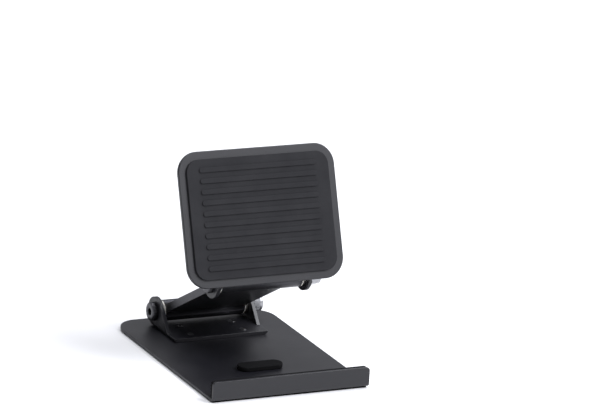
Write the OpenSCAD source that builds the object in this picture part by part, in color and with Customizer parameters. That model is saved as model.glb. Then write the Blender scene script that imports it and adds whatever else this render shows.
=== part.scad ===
// Folding tablet stand: a sheet metal base with an upturned lip, an arm and a
// backrest, joined by two friction hinges. X runs across the stand, Y from the
// lip to the rear and Z up. The origin is on the table under the centre of the base.

/* [Base] */
// Width of the base and of its lip
stand_w = 64; // [58:1:80]
// Depth of the base from the front of the lip to the rear edge
base_d = 84; // [82:1:100]
// Thickness of the base's sheet metal
sheet_t = 1.0; // [0.8:0.1:1.2]
// Radius of the rear corners of the base
base_corner_r = 9; // [4:1:14]
// Thickness of the rubber sole
sole_t = 0.5; // [0.5:0.1:1.5]
// Inset of the sole from the sides and rear of the sheet
sole_inset = 0.5; // [0.3:0.1:2]
// Inset of the sole from the front of the lip
sole_front = 0.9; // [0.6:0.1:2]

/* [Lip] */
// Height of the lip's top edge above the table
lip_h = 8; // [6:0.1:14]
// Lean of the lip towards the tablet, in degrees
lip_lean = 4; // [0:1:8]
// Inner radius of the bend between the lip and the base
bend_r = 0.4; // [0.2:0.1:1]
// Radius of the lip's two top corners
lip_corner_r = 1.3; // [0.5:0.1:3]
// Thickness of the rubber strip inside the lip
lip_pad_t = 1.6; // [1:0.1:2.5]
// Inset of the rubber strip from the ends of the lip
lip_pad_inset = 0.1; // [0:0.1:4]

/* [Backrest] */
// Lean of the tablet from the vertical, in degrees
rest_lean = 22.6; // [15:0.1:30]
// Distance from the lip's front to the tablet's back plane, on the table
back_plane_y = 9.1; // [7:0.1:14]
// Distance along the back plane from the table to the upper hinge
upper_hinge_s = 40; // [34:1:46]
// Height of the backrest plate above the upper hinge
backrest_h = 48; // [40:1:49]
// Distance that the backrest plate reaches below the upper hinge
backrest_drop = 2; // [2:0.5:3]
// Thickness of the backrest plate
backrest_t = 1.5; // [1.2:0.1:2]
// Corner radius of the backrest plate
backrest_corner_r = 8; // [4:1:14]
// Thickness of the silicone pad, with its ribs
backrest_pad_t = 1.2; // [1:0.1:2]
// Height of the pad's ribs
rib_h = 0.4; // [0.2:0.1:0.6]
// Distance between the pad's ribs
rib_pitch = 4; // [3:0.5:6]

/* [Hinges] */
// Distance from the lip's front to the lower hinge
lower_hinge_y = 75; // [74:1:76]
// Height of a hinge axis over the face that its bracket is screwed to
axis_h = 6.2; // [6:0.1:8]
// Radius of the arm's barrels
barrel_r = 4; // [3.8:0.1:4.2]
// Radius of the brackets' ears
ear_r = 5.5; // [5:0.1:5.5]
// Thickness of the brackets' sheet metal
bracket_t = 1.5; // [1.2:0.1:1.6]
// Width between the two ears of a bracket
ear_gap = 36; // [30:1:40]
// Thickness of the arm's plate
arm_t = 3; // [2.5:0.1:4]
// Radius of the fillets between the arm's plate and its barrels
arm_fillet_r = 3; // [1:0.5:5]

/* [Hidden] */
$fn = 64;

coat = "#26262a";
rubber = "#1a1a1c";
steel = "#8d9096";
nylon = "#e8e6df";

// base sheet and bend
floor_z = sole_t + sheet_t;
bend_out = bend_r + sheet_t;
bend_lap = 0.05;
lip_len = (lip_h - sole_t - bend_out - bend_out * sin(lip_lean)) / cos(lip_lean);

// hinge axes: the lower on the base, the upper behind the tablet's back plane
lower_hinge_z = floor_z + axis_h;
upper_off = backrest_pad_t + backrest_t + axis_h;
upper_hinge_y = back_plane_y + upper_hinge_s * sin(rest_lean) + upper_off * cos(rest_lean);
upper_hinge_z = upper_hinge_s * cos(rest_lean) - upper_off * sin(rest_lean);
arm_dy = upper_hinge_y - lower_hinge_y;
arm_dz = upper_hinge_z - lower_hinge_z;
arm_len = sqrt(arm_dy * arm_dy + arm_dz * arm_dz);
arm_angle = atan2(arm_dz, arm_dy);

// hinge hardware, stacked along the axis from the middle of the arm
bolt_r = 2;
running_gap = 0.04;
seat_gap = 0.02;
side_gap = 0.1;
disc_t = 0.8;
disc_r = 3.9;
flange_t = 0.6;
flange_r = 3.9;
bush_r = 3;
bush_len = 7;
ear_in = ear_gap / 2;
ear_out = ear_in + bracket_t;
barrel_half = ear_in - disc_t - side_gap - flange_t;
head_r = 3.5;
head_t = 2;
socket_r = 1.45;
socket_depth = 1.2;
washer_r = 4.3;
washer_t = 0.8;
nut_r = 4.04;
nut_t = 3;
collar_r = 3.35;
collar_t = 1.2;
insert_r = 2.65;
thread_end = ear_out + washer_t + nut_t + collar_t + 0.6;

// bracket outline and its screws
bracket_bend = 1.4;
bracket_back = 2;
bracket_front = 18;
ear_foot = 13;
screw_r = 1.25;
screw_hole_r = 1.28;
screw_x = 11;
screw_rows = [5, 14];
head_hole_r = 2.9;
countersink_r = 2.3;
countersink_t = 0.75;
drive_r = 0.9;
drive_depth = 0.75;

// grip grooves of the lip's rubber strip
groove_n = 4;
groove_w = 0.5;
groove_t = 0.3;

// fold bumper, under the arm's front barrel when the stand is folded
bumper_w = 18;
bumper_d = 6;
bumper_t = 1.8;

// backrest pad
pad_inset = 3;
pad_sheet_t = backrest_pad_t - rib_h;
rib_w = 1.8;
rib_end = 5;

// point where the tangent from p touches the circle (c, r), on the given side
function tangent(p, c, r, side) =
    let (d = p - c, dist = norm(d), a = atan2(d[1], d[0]) + side * acos(r / dist))
    c + r * [cos(a), sin(a)];

// rectangle from the origin corner with its two far corners rounded
module far_rounded(w, d, r) {
    translate([-w / 2, 0]) square([w, d - r]);
    translate([-w / 2 + r, 0]) square([w - 2 * r, d]);
    for (side = [-1, 1]) translate([side * (w / 2 - r), d - r]) circle(r);
}

// rectangle centred across X with all four corners rounded
module all_rounded(w, d, r) {
    translate([-w / 2 + r, 0]) square([w - 2 * r, d]);
    translate([-w / 2, r]) square([w, d - 2 * r]);
    for (side = [-1, 1], y = [r, d - r]) translate([side * (w / 2 - r), y]) circle(r);
}

// what is cut from the corner of a plate to round it, drawn from the arc's centre
module corner_waste(r) difference() {
    square(r + 1);
    circle(r);
}

// frames: the whole stand, the axis of each hinge, and the face under each bracket
module stand_frame() translate([0, -base_d / 2, 0]) children();
module lower_axis() stand_frame() translate([0, lower_hinge_y, lower_hinge_z]) children();
module upper_axis() stand_frame() translate([0, upper_hinge_y, upper_hinge_z]) children();
module base_face() lower_axis() rotate([0, 0, 180]) translate([0, 0, -axis_h]) children();
module backrest_face()
    upper_axis() rotate([-90 - rest_lean, 0, 0]) rotate([0, 0, 180]) translate([0, 0, -axis_h]) children();
module arm_frame() lower_axis() rotate([arm_angle, 0, 0]) children();
// the lip's own plane: Y up the lip and Z out of its front, from the centre of the bend
module lip_face() translate([0, bend_out, sole_t + bend_out]) rotate([90 - lip_lean, 0, 0]) children();
// turns a shape drawn along Z so that it lies along X
module along_x() rotate([0, 90, 0]) children();
// extrudes an outline drawn in Y and Z across X, centred
module across(w) rotate([90, 0, 90]) linear_extrude(w, center = true) children();
// the four screw places on a bracket's face
module screw_places() for (x = [-screw_x, screw_x], y = screw_rows) translate([x, y, 0]) children();

// ---- parts that both hinges share ----

// outline of a bracket's ear in Y and Z: round at the axis and tapered to the floor
module bracket_ear() {
    axis = [0, axis_h];
    rear = [-bracket_back, 0];
    fore = [ear_foot, 0];
    difference() {
        union() {
            translate(axis) circle(ear_r);
            polygon([rear, tangent(rear, axis, ear_r, -1), axis, tangent(fore, axis, ear_r, 1), fore]);
        }
        translate(axis) circle(bolt_r + seat_gap);
    }
}

// U-shaped bracket with rounded bends, drawn on the face that it is screwed to
module hinge_bracket() difference() {
    union() {
        translate([-ear_out, -bracket_back, 0])
            cube([2 * ear_out, bracket_front + bracket_back, bracket_t]);
        for (side = [-1, 1]) translate([side * (ear_in + bracket_t / 2), 0, 0])
            across(bracket_t) bracket_ear();
    }
    screw_places() translate([0, 0, -1]) cylinder(r = screw_hole_r, h = bracket_t + 2);
    for (side = [0, 1]) mirror([side, 0, 0]) translate([ear_out - bracket_bend, -2 * ear_r, bracket_bend])
        rotate([-90, 0, 0]) linear_extrude(bracket_front + 4 * ear_r) corner_waste(bracket_bend);
}

// the bracket's holes and countersinks in a plate of thickness t that lies behind its face
module plate_holes(t) screw_places() {
    translate([0, 0, -t - 1]) cylinder(r = screw_hole_r, h = t + 2);
    translate([0, 0, -t]) cylinder(r1 = countersink_r, r2 = screw_r, h = countersink_t);
}

// countersunk screws that hold the bracket to that plate, with hexagonal drives
module bracket_screws(t) screw_places() difference() {
    union() {
        translate([0, 0, -t]) cylinder(r1 = countersink_r, r2 = screw_r, h = countersink_t);
        translate([0, 0, -t]) cylinder(r = screw_r, h = t + bracket_t);
    }
    translate([0, 0, -t - 1]) cylinder(r = drive_r, h = drive_depth + 1, $fn = 6);
}

// bolt with a socket head, drawn along the hinge axis
module hinge_bolt() along_x() {
    difference() {
        union() {
            translate([0, 0, -ear_out - head_t]) cylinder(r = head_r, h = head_t);
            translate([0, 0, -ear_out]) cylinder(r = bolt_r, h = ear_out + thread_end);
        }
        translate([0, 0, -ear_out - head_t - 1]) cylinder(r = socket_r, h = socket_depth + 1, $fn = 6);
    }
}

// two coned disc springs that press the flanges and make the hinge stiff
module disc_springs() for (side = [0, 180]) rotate([0, side, 0]) along_x() translate([0, 0, ear_in])
    rotate_extrude() polygon([[bolt_r + 0.1, -disc_t], [bolt_r + 0.6, -disc_t],
                              [disc_r, -disc_t / 2], [disc_r, 0], [disc_r - 0.5, 0],
                              [bolt_r + 0.1, -disc_t / 2]]);

module hinge_washer() along_x() translate([0, 0, ear_out]) difference() {
    cylinder(r = washer_r, h = washer_t);
    translate([0, 0, -1]) cylinder(r = bolt_r + 0.15, h = washer_t + 2);
}

// hexagonal nut with chamfered corners and a round collar for the nylon ring
module lock_nut() along_x() translate([0, 0, ear_out + washer_t]) difference() {
    union() {
        intersection() {
            cylinder(r = nut_r, h = nut_t, $fn = 6);
            rotate_extrude() polygon([[0, 0], [nut_r - 0.3, 0], [nut_r + 0.1, 0.4],
                                      [nut_r + 0.1, nut_t - 0.4], [nut_r - 0.5, nut_t], [0, nut_t]]);
        }
        cylinder(r = collar_r, h = nut_t + collar_t);
    }
    translate([0, 0, -1]) cylinder(r = bolt_r + seat_gap, h = nut_t + collar_t + 2);
    translate([0, 0, nut_t]) cylinder(r = insert_r, h = collar_t + 1);
}

module nut_insert() along_x() translate([0, 0, ear_out + washer_t + nut_t]) difference() {
    cylinder(r = insert_r, h = collar_t - 0.2);
    translate([0, 0, -1]) cylinder(r = bolt_r + seat_gap, h = collar_t + 2);
}

// two flanged bushes, one in each end of a barrel
module bushes() for (side = [0, 180]) rotate([0, side, 0]) along_x() difference() {
    union() {
        translate([0, 0, barrel_half - bush_len]) cylinder(r = bush_r, h = bush_len);
        translate([0, 0, barrel_half]) cylinder(r = flange_r, h = flange_t);
    }
    translate([0, 0, barrel_half - bush_len - 1])
        cylinder(r = bolt_r + running_gap, h = bush_len + flange_t + 2);
}

// ---- base ----

// outline of the bent sheet in Y and Z: flat floor, quarter bend and leaning lip
module sheet_outline() {
    big = 3 * bend_out;
    translate([bend_out - bend_lap, sole_t]) square([base_d - bend_out + bend_lap, sheet_t]);
    translate([bend_out, sole_t + bend_out]) {
        difference() {
            circle(bend_out);
            circle(bend_r);
            translate([0, -big]) square([big, 2 * big]);
            rotate(-lip_lean) translate([-big, 0]) square([2 * big, big]);
        }
        rotate(90 - lip_lean) translate([-bend_lap, bend_r]) square([lip_len + bend_lap, sheet_t]);
    }
}

// bent sheet with rounded rear corners, rounded lip corners and four screw holes
module base_plate() color(coat) stand_frame() difference() {
    across(stand_w) sheet_outline();
    for (side = [0, 1]) mirror([side, 0, 0]) {
        translate([stand_w / 2 - base_corner_r, base_d - base_corner_r, sole_t - 1])
            linear_extrude(sheet_t + 2) corner_waste(base_corner_r);
        lip_face() translate([stand_w / 2 - lip_corner_r, lip_len - lip_corner_r, bend_r - 1])
            linear_extrude(sheet_t + 2) corner_waste(lip_corner_r);
    }
    translate([0, lower_hinge_y, floor_z]) rotate([0, 0, 180]) plate_holes(sheet_t);
}

// rubber sheet under the base, open round the screw heads
module base_sole() color(rubber) stand_frame() difference() {
    translate([0, sole_front, 0]) linear_extrude(sole_t)
        far_rounded(stand_w - 2 * sole_inset, base_d - sole_front - sole_inset, base_corner_r - sole_inset);
    translate([0, lower_hinge_y, -1]) rotate([0, 0, 180]) screw_places()
        cylinder(r = head_hole_r, h = sole_t + 2);
}

// rubber strip on the inner face of the lip, with grip grooves along it
module lip_pad() color(rubber) stand_frame() lip_face() difference() {
    translate([0, 0, bend_r - lip_pad_t]) linear_extrude(lip_pad_t)
        far_rounded(stand_w - 2 * lip_pad_inset, lip_len, lip_corner_r);
    for (k = [1 : groove_n]) translate([-stand_w / 2, k * lip_len / (groove_n + 1) - groove_w / 2, 0])
        translate([0, 0, bend_r - lip_pad_t - 1]) cube([stand_w, groove_w, groove_t + 1]);
}

// rubber strip that carries the folded arm
module fold_bumper() color(rubber) stand_frame()
    translate([0, lower_hinge_y - arm_len - bumper_d / 2, floor_z])
        linear_extrude(bumper_t) all_rounded(bumper_w, bumper_d, bumper_d / 2 - 0.01);

module base_bracket() color(coat) base_face() hinge_bracket();

module base_screws() color(steel) base_face() bracket_screws(sheet_t);

module lower_hinge_bolt() color(steel) lower_axis() hinge_bolt();
module lower_disc_springs() color(steel) lower_axis() disc_springs();
module lower_washer() color(steel) lower_axis() hinge_washer();
module lower_lock_nut() color(steel) lower_axis() lock_nut();
module lower_nut_insert() color(nylon) lower_axis() nut_insert();

// ---- arm ----

// one corner between a barrel at the origin and the plate's upper face
module arm_fillet() {
    reach = sqrt(pow(barrel_r + arm_fillet_r, 2) - pow(arm_t / 2 + arm_fillet_r, 2));
    difference() {
        square([reach, arm_t / 2 + arm_fillet_r * barrel_r / (barrel_r + arm_fillet_r)]);
        translate([reach, arm_t / 2 + arm_fillet_r]) circle(arm_fillet_r);
    }
}

// extruded bar: a plate with a barrel along each end
module arm() color(coat) arm_frame() across(2 * barrel_half) difference() {
    union() {
        translate([0, -arm_t / 2]) square([arm_len, arm_t]);
        for (y = [0, arm_len], side = [0, 1]) translate([y, 0]) mirror([y > 0 ? 1 : 0, 0]) {
            circle(barrel_r);
            mirror([0, side]) arm_fillet();
        }
    }
    for (y = [0, arm_len]) translate([y, 0]) circle(bush_r);
}

module lower_bushes() color(nylon) lower_axis() bushes();
module upper_bushes() color(nylon) upper_axis() bushes();

// ---- backrest ----

module backrest_plate() color(coat) backrest_face() difference() {
    translate([0, -backrest_drop, -backrest_t]) linear_extrude(backrest_t)
        all_rounded(stand_w, backrest_h + backrest_drop, backrest_corner_r);
    plate_holes(backrest_t);
}

// silicone sheet with raised ribs, on the face that the tablet leans on
module backrest_pad() color(rubber) backrest_face() {
    pad_w = stand_w - 2 * pad_inset;
    pad_h = backrest_h + backrest_drop - 2 * pad_inset;
    translate([0, pad_inset - backrest_drop, -backrest_t - pad_sheet_t]) linear_extrude(pad_sheet_t)
        all_rounded(pad_w, pad_h, backrest_corner_r - pad_inset);
    for (y = [rib_pitch : rib_pitch : pad_h - rib_pitch / 2])
        translate([0, pad_inset - backrest_drop + y - rib_w / 2, -backrest_t - backrest_pad_t])
            linear_extrude(rib_h) all_rounded(pad_w - 2 * rib_end, rib_w, rib_w / 2 - 0.01);
}

module backrest_bracket() color(coat) backrest_face() hinge_bracket();

module backrest_screws() color(steel) backrest_face() bracket_screws(backrest_t);

module upper_hinge_bolt() color(steel) upper_axis() hinge_bolt();
module upper_disc_springs() color(steel) upper_axis() disc_springs();
module upper_washer() color(steel) upper_axis() hinge_washer();
module upper_lock_nut() color(steel) upper_axis() lock_nut();
module upper_nut_insert() color(nylon) upper_axis() nut_insert();

base_plate();
base_sole();
lip_pad();
fold_bumper();
base_bracket();
base_screws();
lower_hinge_bolt();
lower_disc_springs();
lower_washer();
lower_lock_nut();
lower_nut_insert();
arm();
lower_bushes();
upper_bushes();
backrest_plate();
backrest_pad();
backrest_bracket();
backrest_screws();
upper_hinge_bolt();
upper_disc_springs();
upper_washer();
upper_lock_nut();
upper_nut_insert();
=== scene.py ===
"""Looks of the folding tablet stand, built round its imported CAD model. Metres, +Z up."""
import math

import bmesh
import bpy
from mathutils import Matrix, Vector


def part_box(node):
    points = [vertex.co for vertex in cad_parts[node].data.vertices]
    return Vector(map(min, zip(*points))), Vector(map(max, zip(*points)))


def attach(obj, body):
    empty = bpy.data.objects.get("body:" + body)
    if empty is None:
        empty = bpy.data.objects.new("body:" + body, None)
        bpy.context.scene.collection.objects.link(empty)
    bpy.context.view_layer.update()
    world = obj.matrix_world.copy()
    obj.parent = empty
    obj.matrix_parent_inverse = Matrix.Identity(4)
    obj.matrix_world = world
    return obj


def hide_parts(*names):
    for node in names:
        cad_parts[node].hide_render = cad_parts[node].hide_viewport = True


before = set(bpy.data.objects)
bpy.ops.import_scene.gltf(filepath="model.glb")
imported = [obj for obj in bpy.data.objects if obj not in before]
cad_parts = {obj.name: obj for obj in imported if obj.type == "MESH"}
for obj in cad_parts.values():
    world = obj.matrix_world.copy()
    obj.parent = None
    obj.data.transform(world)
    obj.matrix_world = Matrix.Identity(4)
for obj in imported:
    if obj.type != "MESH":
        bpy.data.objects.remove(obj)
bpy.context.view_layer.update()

MM = 0.001
NEAR, FAR = 0.05, 50  # what the camera can see, in metres from it


# ---- camera, light and floor ----

def add_object(name, data):
    made = bpy.data.objects.new(name, data)
    bpy.context.scene.collection.objects.link(made)
    return made


def place_camera(azimuth, elevation, roll, distance, lens, aim):
    """A camera that looks at aim from azimuth and elevation, in degrees. Azimuth 0 looks along +Y."""
    a, e = math.radians(azimuth), math.radians(elevation)
    look = Vector((math.sin(a) * math.cos(e), math.cos(a) * math.cos(e), -math.sin(e)))
    data = bpy.data.cameras.new("camera")
    data.lens = lens
    data.clip_start, data.clip_end = NEAR, FAR
    camera = add_object("camera", data)
    camera.rotation_mode = "QUATERNION"
    turn = look.to_track_quat("-Z", "Y").to_matrix() @ Matrix.Rotation(math.radians(roll), 3, "Z")
    camera.rotation_quaternion = turn.to_quaternion()
    camera.location = aim - look * distance
    bpy.context.scene.camera = camera


def add_softbox(name, place, target, size, power, tint):
    """A rectangular area light at place that faces target. Size is in metres and power in watts."""
    data = bpy.data.lights.new(name, "AREA")
    data.shape = "RECTANGLE"
    data.size, data.size_y = size
    data.energy = power
    data.color = tint
    light = add_object(name, data)
    light.location = place
    light.rotation_mode = "QUATERNION"
    light.rotation_quaternion = (Vector(target) - Vector(place)).to_track_quat("-Z", "Y")


def make_sky(dark, bright, towards, tint):
    """A studio that is brightest in the direction towards and darkest opposite it."""
    world = bpy.data.worlds.new("studio")
    bpy.context.scene.world = world
    world.use_nodes = True
    tree = world.node_tree
    place = tree.nodes.new("ShaderNodeTexCoord")
    side = tree.nodes.new("ShaderNodeVectorMath")
    side.operation = "DOT_PRODUCT"
    side.inputs[1].default_value = Vector(towards).normalized()
    ramp = tree.nodes.new("ShaderNodeMapRange")
    ramp.interpolation_type = "SMOOTHSTEP"
    ramp.inputs["From Min"].default_value = -0.6
    ramp.inputs["From Max"].default_value = 0.7
    ramp.inputs["To Min"].default_value = dark
    ramp.inputs["To Max"].default_value = bright
    tree.links.new(place.outputs["Generated"], side.inputs[0])
    tree.links.new(side.outputs["Value"], ramp.inputs["Value"])
    tree.links.new(ramp.outputs["Result"], tree.nodes["Background"].inputs["Strength"])
    tree.nodes["Background"].inputs["Color"].default_value = (*tint, 1)


def make_floor(half=6):
    """A light grey floor at height 0 that reaches half metres each way."""
    data = bpy.data.meshes.new("floor")
    corners = [(-half, -half, 0), (half, -half, 0), (half, half, 0), (-half, half, 0)]
    data.from_pydata(corners, [], [(0, 1, 2, 3)])
    material = bpy.data.materials.new("floor")
    material.use_nodes = True
    shader = material.node_tree.nodes["Principled BSDF"]
    shader.inputs["Base Color"].default_value = (0.82, 0.82, 0.82, 1)
    shader.inputs["Roughness"].default_value = 0.5
    data.materials.append(material)
    add_object("floor", data)


place_camera(azimuth=29.17, elevation=18.28, roll=5.26, distance=1.814, lens=303.03,
             aim=Vector((7.48, -19.77, 65.58)) * MM)
COOL = (0.94, 0.95, 1.0)
make_sky(dark=0.22, bright=0.85, towards=(0.75, -0.5, 0.6), tint=COOL)
add_softbox("key", (0.9, -0.8, 1.3), (0, 0, 0.02), (1.0, 1.0), 36, COOL)
add_softbox("top", (-0.1, 0.35, 1.4), (0, 0, 0.02), (1.0, 0.6), 11, COOL)
make_floor()
bpy.context.scene.view_settings.view_transform = "Standard"


# ---- materials ----

class Finish:
    """One procedural material, with short names for building its nodes. Lengths are in metres.

    Its shading rounds the sharp edges of what it is on to the radius edge."""

    def __init__(self, name, roughness, edge, metallic=0.0, specular=0.5):
        self.material = bpy.data.materials.new(name)
        self.material.use_nodes = True
        self.tree = self.material.node_tree
        self.shader = self.tree.nodes["Principled BSDF"]
        self.shader.inputs["Roughness"].default_value = roughness
        self.shader.inputs["Metallic"].default_value = metallic
        self.shader.inputs["Specular IOR Level"].default_value = specular
        self.place = self.tree.nodes.new("ShaderNodeTexCoord").outputs["Object"]
        rounding = self.tree.nodes.new("ShaderNodeBevel")
        rounding.samples = 6
        rounding.inputs["Radius"].default_value = edge
        self.rounded = rounding.outputs["Normal"]

    def join(self, source, target):
        """Links an output to an input."""
        self.tree.links.new(source, target)

    def noise(self, size, detail=2.0, stretch=(1, 1, 1)):
        """Noise with features of about the given size, longer along an axis whose stretch is above 1."""
        mapping = self.tree.nodes.new("ShaderNodeMapping")
        mapping.inputs["Scale"].default_value = [1 / (size * s) for s in stretch]
        texture = self.tree.nodes.new("ShaderNodeTexNoise")
        texture.inputs["Scale"].default_value = 1.0
        texture.inputs["Detail"].default_value = detail
        self.join(self.place, mapping.inputs["Vector"])
        self.join(mapping.outputs["Vector"], texture.inputs["Vector"])
        return texture.outputs["Fac"]

    def rings(self, axis, size):
        """Noise in rings about a line along X through axis, as turning or grinding leaves."""
        move = self.tree.nodes.new("ShaderNodeVectorMath")
        move.operation = "MULTIPLY_ADD"
        move.inputs[1].default_value = (0, 1, 1)
        move.inputs[2].default_value = (0, -axis[1], -axis[2])
        length = self.tree.nodes.new("ShaderNodeVectorMath")
        length.operation = "LENGTH"
        texture = self.tree.nodes.new("ShaderNodeTexNoise")
        texture.noise_dimensions = "1D"
        texture.inputs["Scale"].default_value = 1 / size
        self.join(self.place, move.inputs[0])
        self.join(move.outputs["Vector"], length.inputs[0])
        self.join(length.outputs["Value"], texture.inputs["W"])
        return texture.outputs["Fac"]

    def spread(self, fac, low, high, start=0.3, end=0.7):
        """Maps the middle of a noise's range to low..high."""
        ramp = self.tree.nodes.new("ShaderNodeMapRange")
        for name, value in (("From Min", start), ("From Max", end), ("To Min", low), ("To Max", high)):
            ramp.inputs[name].default_value = value
        self.join(fac, ramp.inputs["Value"])
        return ramp.outputs["Result"]

    def mixed(self, fac, one, other):
        """Mixes a colour, or the output that gives it, with another colour."""
        mix = self.tree.nodes.new("ShaderNodeMix")
        mix.data_type = "RGBA"
        factor, a, b = [s for s in mix.inputs if s.enabled]
        if isinstance(one, tuple):
            a.default_value = (*one, 1)
        else:
            self.join(one, a)
        b.default_value = (*other, 1)
        self.join(fac, factor)
        return [s for s in mix.outputs if s.enabled][0]

    def at_edges(self):
        """1 where the shading is rounded most and 0 on flat faces."""
        flat = self.tree.nodes.new("ShaderNodeNewGeometry").outputs["Normal"]
        turn = self.tree.nodes.new("ShaderNodeVectorMath")
        turn.operation = "DOT_PRODUCT"
        self.join(flat, turn.inputs[0])
        self.join(self.rounded, turn.inputs[1])
        return self.spread(turn.outputs["Value"], 0, 1, 0.98, 0.75)

    def colour(self, fac, one, other, edge=None):
        """Base colour from one to other, with a colour of its own painted on the rounded edges as a
        highlight if one is given.
        """
        colour = self.mixed(fac, one, other)
        if edge:
            colour = self.mixed(self.at_edges(), colour, edge)
        self.join(colour, self.shader.inputs["Base Color"])

    def rough(self, fac, low, high):
        """Roughness from low to high."""
        self.join(self.spread(fac, low, high), self.shader.inputs["Roughness"])

    def bump(self, *layers):
        """Bump from (height, depth) pairs, one on the other, over the rounded edges."""
        normal = self.rounded
        for height, depth in layers:
            made = self.tree.nodes.new("ShaderNodeBump")
            made.inputs["Distance"].default_value = depth
            self.join(height, made.inputs["Height"])
            self.join(normal, made.inputs["Normal"])
            normal = made.outputs["Normal"]
        self.join(normal, self.shader.inputs["Normal"])


def powder_coat(name, dark, light, edge, low, high):
    """Satin powder coat: fine orange peel, a cloudy sheen, faint specks, and its rounded edges painted
    lighter as a highlight with slight rubbing.
    """
    f = Finish(name, roughness=0.4, edge=0.28 * MM)
    peel, cloud, speck = f.noise(0.45 * MM, 3), f.noise(14 * MM, 3), f.noise(0.12 * MM, 1)
    f.colour(f.spread(cloud, 0, 1), dark, light, edge)
    f.rough(cloud, low, high)
    f.bump((peel, 0.014 * MM), (speck, 0.006 * MM))
    return f.material


def anodised(name, dark, light, edge, low, high):
    """Black anodised extrusion with die lines along X, and its rounded edges painted lighter as a
    highlight.
    """
    f = Finish(name, roughness=0.35, edge=0.25 * MM, metallic=0.85)
    lines, fine = f.noise(0.16 * MM, 2, stretch=(90, 1, 1)), f.noise(0.5 * MM, 2, stretch=(40, 1, 1))
    f.colour(f.spread(fine, 0, 1), dark, light, edge)
    f.rough(lines, low, high)
    f.bump((lines, 0.006 * MM))
    return f.material


def rubber(name, dark, light, grain):
    """Matt black rubber with a moulded grain and a trace of dust."""
    f = Finish(name, roughness=0.8, edge=0.3 * MM, specular=0.08)
    skin, bloom = f.noise(grain, 2), f.noise(9 * MM, 3)
    f.colour(f.spread(bloom, 0, 1, 0.35, 0.75), dark, light)
    f.rough(bloom, 0.72, 0.88)
    f.bump((skin, 0.03 * MM))
    return f.material


def metal(name, dark, light, low, high, axis=None):
    """Bare or plated steel. With an axis it has turning rings round it."""
    f = Finish(name, roughness=0.3, edge=0.12 * MM, metallic=1.0)
    cloud = f.noise(2 * MM, 3)
    marks = f.rings(axis, 0.12 * MM) if axis else f.noise(0.2 * MM, 2)
    f.colour(f.spread(cloud, 0, 1), dark, light)
    f.rough(cloud, low, high)
    f.bump((marks, 0.008 * MM))
    return f.material


def nylon_finish():
    """Natural nylon, a little translucent."""
    f = Finish("nylon", roughness=0.45, edge=0.12 * MM)
    cloud = f.noise(1.5 * MM, 2)
    f.colour(f.spread(cloud, 0, 1), (0.72, 0.70, 0.64), (0.80, 0.78, 0.72))
    f.rough(cloud, 0.4, 0.55)
    f.shader.inputs["Subsurface Weight"].default_value = 0.1
    f.shader.inputs["Subsurface Radius"].default_value = (0.001, 0.0008, 0.0006)
    f.bump((f.noise(0.25 * MM, 2), 0.01 * MM))
    return f.material


def middle(node):
    """Centre of a CAD node's box."""
    low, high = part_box(node)
    return (low + high) / 2


lower_axis = middle("lower_hinge_bolt")
upper_axis = middle("upper_hinge_bolt")

# the coat's third colour goes on its rounded edges: a painted highlight with slight rubbing
coat = powder_coat("powder_coat", (0.0055, 0.0055, 0.008), (0.007, 0.007, 0.0095), (0.028, 0.028, 0.031),
                   0.39, 0.47)
# this rubber's colours are darker than the rubber alone: painted shade for the tablet's shadow on the lip
# pad, and the sole and fold bumper share it
black_rubber = rubber("black_rubber", (0.004, 0.004, 0.0045), (0.007, 0.007, 0.0075), 0.3 * MM)
silicone = rubber("silicone", (0.020, 0.020, 0.022), (0.027, 0.027, 0.029), 0.22 * MM)
# the anodised skin's third colour is a painted highlight on its rounded edges
arm_skin = anodised("black_anodised", (0.035, 0.035, 0.040), (0.055, 0.055, 0.060), (0.11, 0.11, 0.12),
                    0.30, 0.42)
black_oxide = metal("black_oxide", (0.05, 0.05, 0.055), (0.09, 0.09, 0.095), 0.28, 0.42)
PLATING = ((0.28, 0.285, 0.30), (0.38, 0.38, 0.39), 0.24, 0.38)
zinc = metal("zinc_plate", *PLATING)
nylon = nylon_finish()

FINISHES = {
    "base_plate": coat,
    "base_bracket": coat,
    "backrest_plate": coat,
    "backrest_bracket": coat,
    "base_sole": black_rubber,
    "lip_pad": black_rubber,
    "fold_bumper": black_rubber,
    "backrest_pad": silicone,
    "arm": arm_skin,
    "lower_bushes": nylon,
    "upper_bushes": nylon,
    "lower_nut_insert": nylon,
    "upper_nut_insert": nylon,
    "base_screws": zinc,
    "backrest_screws": zinc,
}
for hinge, axis in (("lower", lower_axis), ("upper", upper_axis)):
    ground = metal(hinge + "_ground_steel", (0.30, 0.29, 0.28), (0.38, 0.37, 0.36), 0.25, 0.38, axis)
    plated = metal(hinge + "_plated_steel", *PLATING, axis)
    FINISHES[hinge + "_disc_springs"] = ground
    FINISHES[hinge + "_washer"] = plated
    FINISHES[hinge + "_lock_nut"] = plated

# radius in millimetres that a node's sharp edges are rounded to, where it isn't the usual one
USUAL_EDGE = 0.12
EDGES = {
    "base_bracket": 0.25, "backrest_plate": 0.3, "backrest_bracket": 0.25, "arm": 0.25,
    "lip_pad": 0.2, "fold_bumper": 0.4, "base_sole": 0.15,
}


def soften(node, width):
    """Rounds the sharp edges of a CAD node's mesh, once each of its flat faces is one polygon."""
    weld = node.modifiers.new("weld", "WELD")
    weld.merge_threshold = 0.004 * MM
    flat = node.modifiers.new("flat", "DECIMATE")
    flat.decimate_type = "DISSOLVE"
    flat.angle_limit = math.radians(0.2)
    bevel = node.modifiers.new("bevel", "BEVEL")
    bevel.width = width
    bevel.segments = 2
    bevel.limit_method = "ANGLE"
    bevel.angle_limit = math.radians(40)
    bevel.harden_normals = True


for name, material in FINISHES.items():
    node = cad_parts[name]
    node.data.materials.clear()
    node.data.materials.append(material)
    # the slivers at the lip's corners leave the base plate's mesh no room, so only its shading is rounded
    if name != "base_plate":
        soften(node, EDGES.get(name, USUAL_EDGE) * MM)


# ---- hinge bolts, with a knurled head, a hexagonal socket and a thread ----

SIDES = 144  # points round a turned solid
THREAD_STEPS = 6  # rings in one turn of thread


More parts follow.
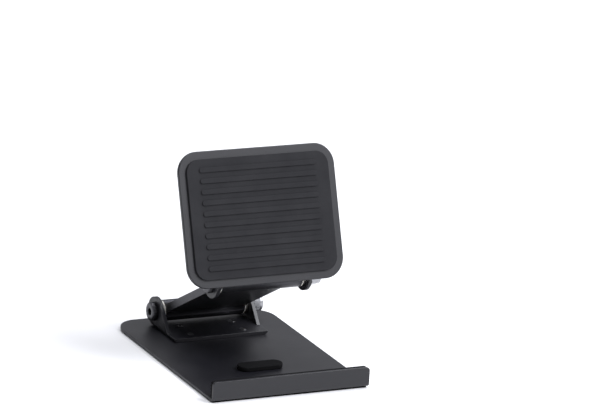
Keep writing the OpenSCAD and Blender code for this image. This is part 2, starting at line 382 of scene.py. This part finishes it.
def turned(name, rings, centre, material):
    """A solid turned about a line along X. Each ring is (x, radius), and radius may depend on the angle."""
    mesh = bmesh.new()
    rows = []
    for x, radius in rings:
        row = []
        for k in range(SIDES):
            angle = 2 * math.pi * k / SIDES
            r = radius(angle) if callable(radius) else radius
            row.append(mesh.verts.new((x, centre.y + r * math.cos(angle), centre.z + r * math.sin(angle))))
        rows.append(row)
    for one, other in zip(rows, rows[1:]):
        for k in range(SIDES):
            n = (k + 1) % SIDES
            mesh.faces.new((one[k], one[n], other[n], other[k]))
    mesh.faces.new(rows[0][::-1])
    mesh.faces.new(rows[-1])
    bmesh.ops.recalc_face_normals(mesh, faces=mesh.faces)
    data = bpy.data.meshes.new(name)
    mesh.to_mesh(data)
    mesh.free()
    data.shade_smooth()
    data.set_sharp_from_angle(angle=math.radians(35))
    data.materials.append(material)
    return add_object(name, data)


def hexagon(across_corners):
    """Radius of a hexagon at an angle."""
    sixth = math.pi / 3
    flat = across_corners / 2 * math.cos(sixth / 2)
    return lambda angle: flat / math.cos(angle % sixth - sixth / 2)


def knurl(radius, depth, ridges):
    """Radius of a straight knurl with rounded ridges."""
    return lambda angle: radius - depth * (1 - abs(math.cos(angle * ridges / 2)))


def thread_ring(x, radius, pitch, depth):
    """Radius of a thread where it passes x. Its crest and root are each flat over a tenth of the pitch."""
    def at(angle):
        phase = (x / pitch - angle / (2 * math.pi)) % 1
        return radius - depth * min(1, max(0, 1.25 * abs(2 * phase - 1) - 0.125))
    return at


def hinge_bolt(name, node, body):
    """Replaces the plain CAD bolt node with a detailed one in its place that rides on body."""
    low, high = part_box(node)
    head_r, head_t, socket_t = (high.y - low.y) / 2, 2 * MM, 1.2 * MM
    shank_r, pitch, depth, thread_len = 2 * MM, 0.7 * MM, 0.32 * MM, 5.6 * MM
    face, under, end = low.x, low.x + head_t, high.x
    socket = hexagon(2.9 * MM)
    grip = knurl(head_r, 0.2 * MM, 36)
    tip = 0.5 * MM
    rings = [
        (face + socket_t + 0.3 * MM, 0.02 * MM), (face + socket_t, socket), (face + 0.12 * MM, socket),
        (face, 1.55 * MM), (face, head_r - 0.45 * MM), (face + 0.12 * MM, head_r - 0.2 * MM),
        (face + 0.3 * MM, head_r - 0.1 * MM), (face + 0.42 * MM, grip),
        (under - 0.3 * MM, grip), (under - 0.15 * MM, head_r - 0.2 * MM),
        (under, head_r - 0.3 * MM), (under, shank_r), (end - thread_len - pitch, shank_r),
    ]
    step = pitch / THREAD_STEPS
    count = round((thread_len - tip) / step)
    for k in range(count + 1):
        x = end - tip - (count - k) * step
        rings.append((x, thread_ring(x, shank_r, pitch, depth * min(1, k / THREAD_STEPS))))
    rings += [(end - 0.25 * MM, shank_r - 0.35 * MM), (end, shank_r - 0.6 * MM)]
    bolt = turned(name, rings, middle(node), black_oxide)
    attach(bolt, body)
    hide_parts(node)


hinge_bolt("lower_bolt", "lower_hinge_bolt", "base")
hinge_bolt("upper_bolt", "upper_hinge_bolt", "backrest")
